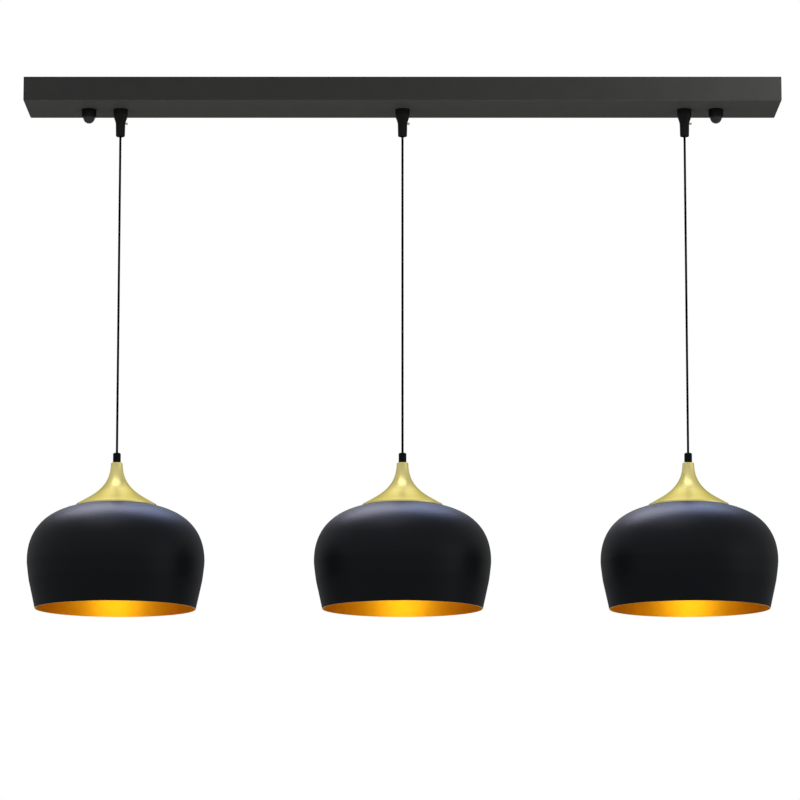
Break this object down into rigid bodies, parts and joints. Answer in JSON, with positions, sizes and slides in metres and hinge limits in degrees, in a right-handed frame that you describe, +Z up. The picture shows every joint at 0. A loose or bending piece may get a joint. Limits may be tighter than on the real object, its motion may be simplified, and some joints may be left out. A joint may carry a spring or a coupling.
{
  "type": "linear island pendant",
  "caption": "Long black ceiling canopy with a row of cord-hung spun bowl shades, black outside and gold inside, on flared brass necks.",
  "frame": {"origin": "on the ceiling plane, at the middle of the mounting strap's top face", "axes": "+X along the canopy, +Y across it, +Z up into the ceiling"},
  "size_m": [1, 0.232, 0.7],
  "materials": {
    "canopy_black": "satin black powder coat",
    "strap_steel": "galvanised",
    "zinc_steel": "bright zinc plate",
    "nut_black": "satin black",
    "grip_black": "moulded nylon, black",
    "screw_nylon": "natural nylon",
    "cord_black": "smooth black sheath",
    "wire_brown": "brown insulation",
    "wire_blue": "blue insulation",
    "wire_earth": "green and yellow insulation",
    "terminal_nylon": "moulded, pale",
    "terminal_brass": "plain",
    "neck_brass": "satin, pale gold",
    "shade_paint": "satin black outside, gold inside",
    "relief_black": "moulded, black",
    "holder_black": "moulded, heat resistant",
    "holder_white": "unglazed",
    "shell_brass": "nickel plated"
  },
  "bodies": {
    "canopy": {"canopy_shell": "canopy_black", "ceiling_strap": "strap_steel", "strap_studs": "zinc_steel", "stud_spacers": "zinc_steel", "cord_grips": "grip_black", "grip_screws": "screw_nylon", "grip_lock_nuts": "zinc_steel", "cord_tails": "cord_black", "live_wires": "wire_brown", "neutral_wires": "wire_blue", "earth_wires": "wire_earth", "terminal_block": "terminal_nylon", "terminal_tubes": "terminal_brass", "terminal_screws": "zinc_steel", "earth_post": "terminal_brass", "earth_tag": "terminal_brass"},
    "cap_nut_left": {"cap_nut_left": "nut_black"},
    "cap_nut_right": {"cap_nut_right": "nut_black"},
    "bend_1": {"cord_bend_1": "cord_black"},
    "cord_1": {"cord_1": "cord_black"},
    "relief_1": {"strain_relief_1": "relief_black"},
    "pendant_1": {"neck_1": "neck_brass", "shade_1": "shade_paint", "nipple_1": "zinc_steel", "lock_nuts_1": "zinc_steel", "holder_cap_1": "holder_black", "holder_skirt_1": "holder_black", "holder_insert_1": "holder_white", "screw_shell_1": "shell_brass", "contacts_1": "shell_brass", "shade_rings_1": "holder_black", "lamp_lead_1": "cord_black"},
    "bend_2": {"cord_bend_2": "cord_black"},
    "cord_2": {"cord_2": "cord_black"},
    "relief_2": {"strain_relief_2": "relief_black"},
    "pendant_2": {"neck_2": "neck_brass", "shade_2": "shade_paint", "nipple_2": "zinc_steel", "lock_nuts_2": "zinc_steel", "holder_cap_2": "holder_black", "holder_skirt_2": "holder_black", "holder_insert_2": "holder_white", "screw_shell_2": "shell_brass", "contacts_2": "shell_brass", "shade_rings_2": "holder_black", "lamp_lead_2": "cord_black"},
    "bend_3": {"cord_bend_3": "cord_black"},
    "cord_3": {"cord_3": "cord_black"},
    "relief_3": {"strain_relief_3": "relief_black"},
    "pendant_3": {"neck_3": "neck_brass", "shade_3": "shade_paint", "nipple_3": "zinc_steel", "lock_nuts_3": "zinc_steel", "holder_cap_3": "holder_black", "holder_skirt_3": "holder_black", "holder_insert_3": "holder_white", "screw_shell_3": "shell_brass", "contacts_3": "shell_brass", "shade_rings_3": "holder_black", "lamp_lead_3": "cord_black"}
  },
  "joints": [
    {"name": "left_nut_turn", "type": "hinge", "parent": "canopy", "child": "cap_nut_left", "pos_m": [-0.417, 0, -0.042], "axis": [0, 0, 1], "continuous": true},
    {"name": "right_nut_turn", "type": "hinge", "parent": "canopy", "child": "cap_nut_right", "pos_m": [0.417, 0, -0.042], "axis": [0, 0, 1], "continuous": true},
    {"name": "side_swing_1", "type": "hinge", "parent": "canopy", "child": "bend_1", "pos_m": [-0.375, 0, -0.068], "axis": [0, 1, 0], "range_deg": [-14, 14]},
    {"name": "fore_aft_swing_1", "type": "hinge", "parent": "bend_1", "child": "cord_1", "pos_m": [-0.375, 0, -0.068], "axis": [1, 0, 0], "range_deg": [-35, 35]},
    {"name": "raise_1", "type": "slide", "parent": "cord_1", "child": "relief_1", "axis": [0, 0, 1], "range_m": [0, 0.3], "deforming": ["cord_1"]},
    {"name": "twist_1", "type": "hinge", "parent": "relief_1", "child": "pendant_1", "pos_m": [-0.375, 0, -0.5075], "axis": [0, 0, 1], "range_deg": [-180, 180], "stiffness_Nm_per_rad": 0.01},
    {"name": "side_swing_2", "type": "hinge", "parent": "canopy", "child": "bend_2", "pos_m": [0, 0, -0.068], "axis": [0, 1, 0], "range_deg": [-14, 14]},
    {"name": "fore_aft_swing_2", "type": "hinge", "parent": "bend_2", "child": "cord_2", "pos_m": [0, 0, -0.068], "axis": [1, 0, 0], "range_deg": [-35, 35]},
    {"name": "raise_2", "type": "slide", "parent": "cord_2", "child": "relief_2", "axis": [0, 0, 1], "range_m": [0, 0.3], "deforming": ["cord_2"]},
    {"name": "twist_2", "type": "hinge", "parent": "relief_2", "child": "pendant_2", "pos_m": [0, 0, -0.5075], "axis": [0, 0, 1], "range_deg": [-180, 180], "stiffness_Nm_per_rad": 0.01},
    {"name": "side_swing_3", "type": "hinge", "parent": "canopy", "child": "bend_3", "pos_m": [0.375, 0, -0.068], "axis": [0, 1, 0], "range_deg": [-14, 14]},
    {"name": "fore_aft_swing_3", "type": "hinge", "parent": "bend_3", "child": "cord_3", "pos_m": [0.375, 0, -0.068], "axis": [1, 0, 0], "range_deg": [-35, 35]},
    {"name": "raise_3", "type": "slide", "parent": "cord_3", "child": "relief_3", "axis": [0, 0, 1], "range_m": [0, 0.3], "deforming": ["cord_3"]},
    {"name": "twist_3", "type": "hinge", "parent": "relief_3", "child": "pendant_3", "pos_m": [0.375, 0, -0.5075], "axis": [0, 0, 1], "range_deg": [-180, 180], "stiffness_Nm_per_rad": 0.01}
  ]
}
